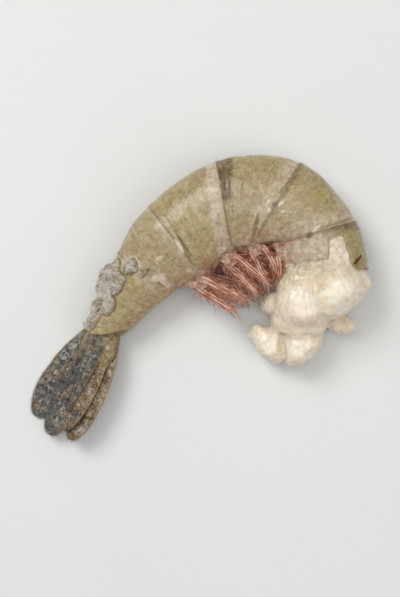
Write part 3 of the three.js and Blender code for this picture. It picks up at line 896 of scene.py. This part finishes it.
def muscle(material):
    """The lobes of muscle at the cut end, melted together, with fibres and ragged ends. Its
    tint holds painted shade where a point lies deep in valleys, folds and creases, the warm streaks
    (above 0) and the painted highlight on the lobes' tops (below 0), and its film of skin."""
    shapes = Gathered()
    for size in MUSCLE:
        shapes.add_tube(lobe(*size))
    shapes.add_tube(muscle_plug())
    points, faces, edges = melted(shapes, MUSCLE_GRAIN)
    points = relaxed(points, edges, MUSCLE_ROUNDS)
    normals = vertex_normals(points, faces)
    broad = relaxed(points, edges, 50)
    valley = np.sum((broad - points) * normals, axis=1)

    fibres = fibre_places(points)
    crease = smooth(np.abs(fractal(fibres, BUNDLE_CREASE["apart"], 2)), BUNDLE_CREASE["half"], 0)
    lumps = fractal(points + 15, 3.0, 3)
    ragged = fractal(points + 70, 1.3, 3) * smooth(-points[:, 1], 4, 11)
    folds = np.zeros(len(points))
    for fold in MUSCLE_FOLDS:
        line = spline(fold["line"], np.linspace(0, 1, 60))
        far = np.min(np.linalg.norm(points[:, None, :2] - line, axis=2), axis=1) + 0.15 * lumps
        folds = np.maximum(folds, fold["depth"] * bell(far, fold["half"]))
    relief = 0.06 * fractal(fibres + 30, 0.8, 2) + 0.32 * lumps + 0.18 * ragged
    relief -= np.maximum(folds, BUNDLE_CREASE["depth"] * crease)
    points = points + normals * relief[:, None]

    speckle = fractal(points, 1.5, 3)
    warm = smooth(far_from(points, *WARM_STREAKS) + 0.5 * speckle, 1.3, 0.5)
    # Painted highlight: near-white ovals on the lobes' tops, where the light falls.
    highlight = [smooth(far_from(points, *oval) + 0.3 * lumps, 1.25, 0.6) for oval in HIGHLIGHT_PATCHES]
    bare = far_from(points, *BARE_NOTCH)
    patchy = 0.6 * smooth(fractal(points + 9, 1.4, 3), -0.1, 0.3)
    film = smooth(points[:, 1] + 1.5 * lumps - 0.12 * (points[:, 0] - FIBRE_SOURCE[0]), 1.6, 5.8)
    film *= mix(patchy, 1, smooth(bare, 0.8, 1.2))
    # Painted shade: darker where the surface lies in a valley between lobes, in a fold, and in a crease
    # between bundles.
    deep = np.maximum(smooth(valley + 0.05 * lumps, 0.0, 0.25), smooth(folds, 0.1, 0.6))
    deep = np.maximum(deep, 0.5 * crease)
    tint = stacked(deep, warm - np.max(highlight, axis=0), film)
    return new_piece("muscle", points, faces, material, "flesh", tint=tint, place=fibres)


# ---- Frost -----------------------------------------------------------------------------------

def frost_crust(material):
    """Ice on the last two rings. Where it is thin it sinks below the shell, out of sight."""
    rows, columns = 170, 190
    around = np.linspace(*FROST_PATCH["around"], columns)
    t = np.linspace(FROST_PATCH["t"], ring_end(RINGS, np.abs(around)), rows)
    u, v = half_section(np.abs(around), KEEL)
    shell = body_point(t, u * 1.01, v * np.sign(around) * 1.01)
    outward = unit(shell - body_point(t, 0 * u, 0 * v))
    height = np.full((rows, columns), -1.0)
    for lump_t, lump_around, half_t, half_around, highest in FROST_LUMPS:
        along, across = (t - lump_t) / half_t, (around - lump_around) / half_around
        height = np.maximum(height, highest * (1.0 - along ** 2 - across ** 2))
    height += FROST_ROUGH["height"] * fractal(shell + 5, FROST_ROUGH["size"], 3)
    covered = np.argwhere(height > 0)
    for row, column in covered[RANDOM.choice(len(covered), FROST_GRAINS["count"])]:
        radius = RANDOM.uniform(*FROST_GRAINS["radius"])
        far = np.linalg.norm(shell - shell[row, column], axis=-1) / radius
        swell = FROST_GRAINS["height"] * radius * np.sqrt(np.clip(1 - far ** 2, 0, 1))
        height = np.where(far < 1, height + swell, height)
    height = np.clip(height, -FROST_PATCH["sunk"], FROST_PATCH["highest"])
    top = shell + outward * height[..., None]
    bottom = shell - outward * FROST_PATCH["bottom"]
    points = np.concatenate([top, bottom])
    thick = np.tile(height.ravel(), 2)
    return new_piece("frost", points, slab_faces(rows, columns), material, "shell",
                     place=stacked(thick, 0.0, 0.0))


# ---- Materials -------------------------------------------------------------------------------

MIX_A, MIX_B, MIX_RESULT = 6, 7, 2
COAT_ROUGHNESS = 0.12


def linear(red, green, blue):
    """A colour as shown on a screen, 0 to 255, in the renderer's linear values."""
    return [((c / 255 + 0.055) / 1.055) ** 2.4 for c in (red, green, blue)] + [1]


class Surface:
    """A material's node tree. Most calls add a node and return its output."""

    def __init__(self, name):
        self.material = bpy.data.materials.new(name)
        self.material.use_nodes = True
        self.tree = self.material.node_tree
        self.mm = self.scaled(self.add("ShaderNodeTexCoord")["Object"], (1 / MM,) * 3)

    def feed(self, inputs, values):
        """Links or sets each of the inputs that `values` gives by name or by place."""
        for key, value in values.items():
            if isinstance(value, bpy.types.NodeSocket):
                self.tree.links.new(value, inputs[key])
            else:
                inputs[key].default_value = value

    def add(self, kind, values=None, **settings):
        """Adds a node and gives all its outputs."""
        made = self.tree.nodes.new(kind)
        for key, value in settings.items():
            setattr(made, key, value)
        self.feed(made.inputs, values or {})
        return made.outputs

    def vector(self, name):
        """The vector that the mesh holds at each point."""
        return self.add("ShaderNodeAttribute", attribute_name=name)["Vector"]

    def held(self, name):
        """The three parts of the vector that the mesh holds at each point."""
        return self.add("ShaderNodeSeparateXYZ", {0: self.vector(name)})

    def scaled(self, vector, factors):
        return self.add("ShaderNodeVectorMath", {0: vector, 1: factors}, operation="MULTIPLY")[0]

    def joined(self, *parts):
        return self.add("ShaderNodeCombineXYZ", dict(enumerate(parts)))[0]

    def math(self, operation, *values):
        return self.add("ShaderNodeMath", dict(enumerate(values)), operation=operation)[0]

    def times(self, a, b):
        return self.math("MULTIPLY", a, b)

    def step(self, value, low, high):
        """0 to 1 as value goes from low to high, smoothly. low may be above high."""
        turned = low > high
        ends = {"From Min": min(low, high), "From Max": max(low, high)}
        ends.update({"Value": value, "To Min": float(turned), "To Max": 1.0 - turned})
        return self.add("ShaderNodeMapRange", ends, interpolation_type="SMOOTHSTEP")[0]

    def both(self, first, second):
        """Where two steps, each given as its source, low and high, overlap."""
        return self.times(self.step(*first), self.step(*second))

    def noise(self, where, size, detail=3.0, rough=0.55, swirl=0.0):
        """Noise from 0 to 1 with features about `size` across, in the units of `where`."""
        values = {"Vector": where, "Scale": 1 / size, "Detail": detail}
        values.update({"Roughness": rough, "Distortion": swirl})
        return self.add("ShaderNodeTexNoise", values)["Fac"]

    def cells(self, where, size):
        """The distance to the nearest of many scattered dots, in shares of `size`."""
        return self.add("ShaderNodeTexVoronoi", {"Vector": where, "Scale": 1 / size})["Distance"]

    def blend(self, share, a, b):
        values = {"Factor": share, MIX_A: a, MIX_B: b}
        return self.add("ShaderNodeMix", values, data_type="RGBA")[MIX_RESULT]

    def between(self, source, low, high, first, second):
        """From the first colour to the second as the source goes from low to high."""
        return self.blend(self.step(source, low, high), linear(*first), linear(*second))

    def cover(self, colour, share, strength, over):
        """Lays `over`, a colour or another output, on the colour where `share` says."""
        over = linear(*over) if isinstance(over, tuple) else over
        return self.blend(self.times(share, strength), colour, over)

    def layered(self, colour, layers):
        """Lays colours on each other. A layer holds its source, the values at which it starts and
        is full, its strength there and its colour."""
        for source, start, full, strength, over in layers:
            colour = self.cover(colour, self.step(source, start, full), strength, over)
        return colour

    def bump(self, layers):
        """The normal that heights press into the surface, each with its depth in millimetres."""
        values = {"Strength": 1.0}
        for height, depth in layers:
            values.update({"Distance": depth * MM, "Height": height})
            values["Normal"] = self.add("ShaderNodeBump", values)[0]
        return values["Normal"]

    def finish(self, colour, rough, bumps=(), soft=0.0, reach=(1.0, 0.6, 0.4), coat=0.0, ior=1.42,
               through=0.0):
        """Feeds the shader. `soft` is the share of light that spreads under the surface, as far
        as `reach` in millimetres, and `through` is the share that passes."""
        values = {"Base Color": colour, "Roughness": rough, "IOR": ior}
        values.update({"Subsurface Weight": soft, "Subsurface Radius": reach, "Subsurface Scale": MM})
        values.update({"Coat Weight": coat, "Coat Roughness": COAT_ROUGHNESS})
        values["Transmission Weight"] = through
        if bumps:
            values["Normal"] = self.bump(bumps)
        self.feed(self.tree.nodes["Principled BSDF"].inputs, values)
        return self.material


def shell_material():
    s = Surface("wet_shell")
    t, around, local = s.held("place")
    dark, pale, olive = s.held("tint")
    around = s.math("ABSOLUTE", around)
    mottle = s.noise(s.mm, 1.5, 4, 0.62, 0.4)
    blotch = s.noise(s.mm, 0.85, 3, 0.6, 0.8)
    fine = s.noise(s.mm, 0.4, 3, 0.6)
    streaks = s.noise(s.joined(s.times(t, 26.0), s.times(around, 5.0), local), 1.0, 3, 0.6, 0.6)

    colour = s.between(mottle, 0.25, 0.75, (152, 132, 100), (184, 166, 136))
    green = s.between(mottle, 0.25, 0.75, (138, 122, 68), (174, 158, 100))
    colour = s.layered(s.cover(colour, olive, 0.95, green), [
        (blotch, 0.54, 0.74, 0.40, (202, 188, 162)),
        (blotch, 0.46, 0.26, 0.40, (118, 100, 72)),
        (streaks, 0.52, 0.70, 0.25, (204, 190, 162)),
        (streaks, 0.46, 0.30, 0.30, (112, 94, 66)),
        (fine, 0.42, 0.30, 0.30, (104, 88, 62)),
        (s.noise(s.mm, 1.1, 2), 0.56, 0.72, 0.30, (182, 144, 122)),
    ])

    patchy = s.step(s.noise(s.mm, 1.3, 4, 0.65), 0.15, 0.5)
    pale_tone = s.between(mottle, 0.35, 0.65, (174, 154, 128), (202, 186, 162))
    dark_tone = s.between(blotch, 0.3, 0.7, (76, 58, 38), (128, 108, 74))
    colour = s.cover(colour, s.times(pale, patchy), 0.9, pale_tone)
    colour = s.cover(colour, s.times(dark, patchy), 0.95, dark_tone)
    colour = s.layered(colour, [
        (s.times(pale, olive), 0.75, 0.95, 0.70, (218, 198, 142)),
        (pale, 1.10, 1.60, 0.75, (226, 210, 194)),
    ])

    dots = s.both((s.cells(s.mm, 0.62), 0.34, 0.2), (s.noise(s.mm, 1.6, 3), 0.42, 0.56))
    colour = s.cover(colour, dots, 0.5, (104, 84, 58))
    # Painted glints: small pale specks of light scattered over the shell.
    mirrored = s.scaled(s.mm, (-1, 1, 1))
    painted_glints = s.both((s.cells(mirrored, 0.8), 0.36, 0.12), (s.noise(s.mm, 1.3, 3), 0.58, 0.44))
    colour = s.cover(colour, painted_glints, 0.35, (214, 204, 184))
    red = s.both((around, 0.58, 0.74), (s.noise(s.mm, 1.2, 3), 0.4, 0.62))
    colour = s.cover(colour, red, 0.55, (156, 100, 78))

    rough = s.math("MULTIPLY_ADD", mottle, 0.2, 0.26)
    bumps = [(mottle, 0.08), (fine, 0.04), (streaks, 0.03)]
    return s.finish(colour, rough, bumps, soft=0.35, reach=(1.3, 0.9, 0.5), coat=0.25)


def muscle_material():
    s = Surface("moist_muscle")
    valley, warm, film = s.held("tint")
    fibres = s.vector("place")
    cloud = s.noise(s.mm, 3.0, 3)
    mottle = s.noise(s.mm, 1.1, 4, 0.62, 0.4)
    thread = s.noise(fibres, 0.7, 3, 0.6)
    hair = s.noise(fibres, 0.3, 3, 0.6)
    colour = s.between(cloud, 0.35, 0.65, (235, 223, 203), (223, 206, 181))
    # Below 0, the tint's second part lays the painted highlight on the lobes' tops; above 0 it holds warm
    # streaks.
    colour = s.layered(colour, [
        (warm, 0.00, -1.00, 0.85, (242, 232, 215)),
        (mottle, 0.50, 0.70, 0.25, (224, 200, 182)),
    ])
    # Painted shade in the valleys, folds and creases, then the threads and pale hairs of the fibres.
    colour = s.layered(s.cover(colour, valley, 0.6, (206, 186, 152)), [
        (thread, 0.48, 0.68, 0.35, (208, 190, 160)),
        (hair, 0.50, 0.66, 0.20, (246, 240, 228)),
    ])
    grey = s.between(mottle, 0.34, 0.66, (178, 160, 126), (214, 200, 174))
    colour = s.cover(colour, film, 0.85, grey)
    warm_threads = s.both((warm, 0.0, 1.0), (thread, 0.42, 0.62))
    colour = s.cover(colour, warm_threads, 0.45, (206, 166, 110))
    rough = s.math("MULTIPLY_ADD", cloud, 0.25, 0.2)
    bumps = [(thread, 0.08), (hair, 0.05)]
    return s.finish(colour, rough, bumps, soft=0.5, reach=(2.4, 1.6, 1.0), coat=0.4, ior=1.4)


def inner_material():
    s = Surface("belly_skin")
    ridge, _, t = s.held("place")
    mottle = s.noise(s.mm, 1.2, 3, 0.6)
    colour = s.between(mottle, 0.35, 0.65, (122, 84, 66), (182, 146, 120))
    colour = s.layered(colour, [
        (ridge, 0.10, 0.35, 0.50, (196, 164, 138)),
        (s.noise(s.mm, 0.5, 3, 0.6), 0.52, 0.64, 0.50, (158, 84, 62)),
        (t, 5.40, 5.80, 1.00, (126, 108, 74)),
    ])
    return s.finish(colour, 0.34, [(mottle, 0.1)], soft=0.3, reach=(1.6, 0.9, 0.6), coat=0.3)


def leg_material():
    s = Surface("wet_leg")
    along, across, kind = s.held("place")
    mottle = s.noise(s.mm, 0.8, 3, 0.6)
    specks = s.noise(s.mm, 0.45, 3, 0.65)
    streaks = s.noise(s.joined(s.times(along, 0.3), s.times(across, 2.0), kind), 0.8, 3, 0.6)
    rib = s.math("COSINE", s.times(across, RIB_WAVES))

    def turns(first, second):
        """0 where a point is of the first kind, 1 where it is of the second."""
        return s.step(kind, mix(first, second, 0.4), mix(first, second, 0.6))

    stalk = s.between(mottle, 0.36, 0.64, (136, 100, 80), (188, 158, 132))
    stalk = s.layered(stalk, [
        (streaks, 0.47, 0.36, 0.70, (120, 66, 54)),
        (specks, 0.50, 0.62, 0.60, (176, 100, 78)),
    ])
    branch = s.between(streaks, 0.36, 0.64, (142, 90, 74), (200, 160, 134))
    # A patchy pale stripe along each raised rib: partly the rib's own paler pink, partly a painted
    # highlight.
    pale = s.both((rib, 0.3, -0.9), (s.noise(s.mm, 2.6, 2), 0.36, 0.54))
    branch = s.cover(branch, s.times(pale, s.step(streaks, 0.36, 0.5)), 0.85, (230, 200, 180))
    edge = s.both((rib, 0.2, 0.9), (streaks, 0.58, 0.42))
    branch = s.cover(branch, edge, 0.75, (136, 64, 54))
    branch = s.layered(branch, [(specks, 0.54, 0.66, 0.60, (198, 114, 84))])
    hair = s.between(mottle, 0.4, 0.6, (166, 86, 64), (228, 156, 124))
    colour = s.blend(turns(STALK, BRANCH), stalk, branch)
    colour = s.blend(turns(BRANCH, HAIR), colour, hair)
    colour = s.blend(turns(STALK, BLOOD), colour, linear(92, 34, 24))
    bumps = [(streaks, 0.08), (mottle, 0.06)]
    return s.finish(colour, 0.32, bumps, soft=0.25, reach=(0.8, 0.4, 0.3), coat=0.4)


def fan_material():
    s = Surface("tail_fan_net")
    along, across, rim = s.held("place")
    curl = s.noise(s.joined(s.times(along, 0.6), across, 0.0), 2.0, 2, 0.5, 0.6)
    loops = s.step(s.math("SINE", s.times(curl, 30.0)), 0.1, 0.95)
    grain = s.noise(s.mm, 0.5, 4, 0.65)
    broad = s.noise(s.mm, 2.4, 3)
    slate = s.between(grain, 0.35, 0.7, (40, 41, 44), (102, 98, 92))
    brown = s.between(grain, 0.35, 0.7, (66, 50, 34), (148, 122, 84))
    first_upper = FIRST_UPPER_BLADE * BLADE_APART
    upper = s.step(across, first_upper - 12.0, first_upper - 8.0)
    browner = s.math("MULTIPLY_ADD", upper, 0.2, s.math("SUBTRACT", broad, 0.08))
    colour = s.blend(s.step(browner, 0.42, 0.58), slate, brown)
    pale = s.times(loops, s.step(s.noise(s.mm, 1.8, 3), 0.4, 0.6))
    colour = s.cover(colour, pale, 0.45, (158, 148, 130))
    flecks = s.both((s.noise(s.mm, 0.9, 4, 0.7), 0.54, 0.64), (broad, 0.4, 0.6))
    colour = s.layered(s.cover(colour, flecks, 0.7, (186, 168, 136)), [
        (s.noise(s.mm, 1.9, 3, 0.65), 0.45, 0.36, 0.80, (28, 26, 26)),
        (rim, 0.88, 0.98, 0.60, (156, 118, 66)),
    ])
    start = s.both((along, 7.5, 1.5), (s.noise(s.mm, 1.4, 3), 0.3, 0.6))
    colour = s.cover(colour, start, 0.6, (158, 138, 92))
    hair_share = s.step(rim, HAIR_PLACE + 5.0, HAIR_PLACE + 3.0)
    colour = s.blend(hair_share, colour, linear(96, 78, 56))
    bumps = [(loops, 0.05), (grain, 0.08)]
    return s.finish(colour, 0.36, bumps, soft=0.08, reach=(0.8, 0.6, 0.4), coat=0.35, ior=1.45)


def frost_material():
    s = Surface("frost")
    thick, _, _ = s.held("place")
    grain = s.noise(s.mm, 0.5, 3, 0.6)
    ice = s.between(s.noise(s.mm, 1.8, 3), 0.38, 0.6, (164, 150, 128), (206, 197, 183))
    ice = s.layered(ice, [(grain, 0.50, 0.66, 0.55, (240, 239, 236))])
    wet_shell = s.between(grain, 0.4, 0.6, (140, 122, 90), (172, 154, 122))
    colour = s.blend(s.step(thick, 0.0, 0.5), wet_shell, ice)
    return s.finish(colour, 0.2, [(grain, 0.12)], soft=0.5, reach=(1.2, 1.2, 1.2), ior=1.31, through=0.3)


def floor_material():
    s = Surface("pale_floor")
    pale = linear(226, 226, 224)
    shaded = [c * 0.94 for c in pale[:3]] + [1]
    return s.finish(s.blend(s.noise(s.mm, 60.0), shaded, pale), 0.7)


# ---- Stage -----------------------------------------------------------------------------------

# Square lamps: name, place and size in metres, and watts.
LAMPS = [
    ("key", (-0.35, 0.35, 0.6), 0.35, 3.2),
    ("fill", (0.45, -0.2, 0.5), 0.5, 1.0),
    ("top", (0.0, 0.05, 0.8), 0.6, 1.5),
]


def stage():
    """A pale floor, white light from all round and the lamps, which face the part."""
    half, below = 3.0, -1e-4
    corners = [(-half, -half, below), (half, -half, below), (half, half, below), (-half, half, below)]
    sheet = bpy.data.meshes.new("floor")
    sheet.from_pydata(corners, [], [(0, 1, 2, 3)])
    sheet.materials.append(floor_material())
    floor = placed("floor", sheet)

    world = bpy.data.worlds.new("studio")
    world.use_nodes = True
    world.node_tree.nodes["Background"].inputs["Color"].default_value = (1, 1, 1, 1)
    world.node_tree.nodes["Background"].inputs["Strength"].default_value = 0.35
    bpy.context.scene.world = world
    for name, place, size, watts in LAMPS:
        light = bpy.data.lights.new(name, "AREA")
        light.size = size
        light.energy = watts
        lamp = placed(name, light)
        lamp.location = place
        lamp.rotation_euler = (-Vector(place)).to_track_quat("-Z", "Y").to_euler()


def camera():
    """Straight above the middle, with the prawn's width filling most of the picture's."""
    low, high = (Vector(corner) for corner in cad_box)
    middle = (low + high) / 2
    sensor, picture_shape, filled = 36, 597 / 400, 0.86
    view = bpy.data.cameras.new("camera")
    view.lens = 100
    height = (high.x - low.x) / filled * picture_shape * view.lens / sensor
    seen = placed("camera", view)
    seen.location = (middle.x, middle.y, middle.z + height)
    bpy.context.scene.camera = seen


# ---- The whole -------------------------------------------------------------------------------

def prawn():
    shell, flesh, legs, fan = shell_material(), muscle_material(), leg_material(), fan_material()
    rings = [shell_ring(n, shell) for n in range(1, RINGS + 1)]
    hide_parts("prawn")
    blood_streak(legs)
    inner_body(inner_material())
    muscle(flesh)
    for side in (-1, 1):
        uropod_stalk(side, fan)
        for leg in LEGS:
            swimming_leg(leg, side, legs)
    telson(fan)
    for number, leaf in enumerate(UROPODS, 1):
        uropod(number, leaf, fan)
    frost_crust(frost_material())


bpy.context.scene.view_settings.view_transform = "Standard"
camera()
stage()
prawn()
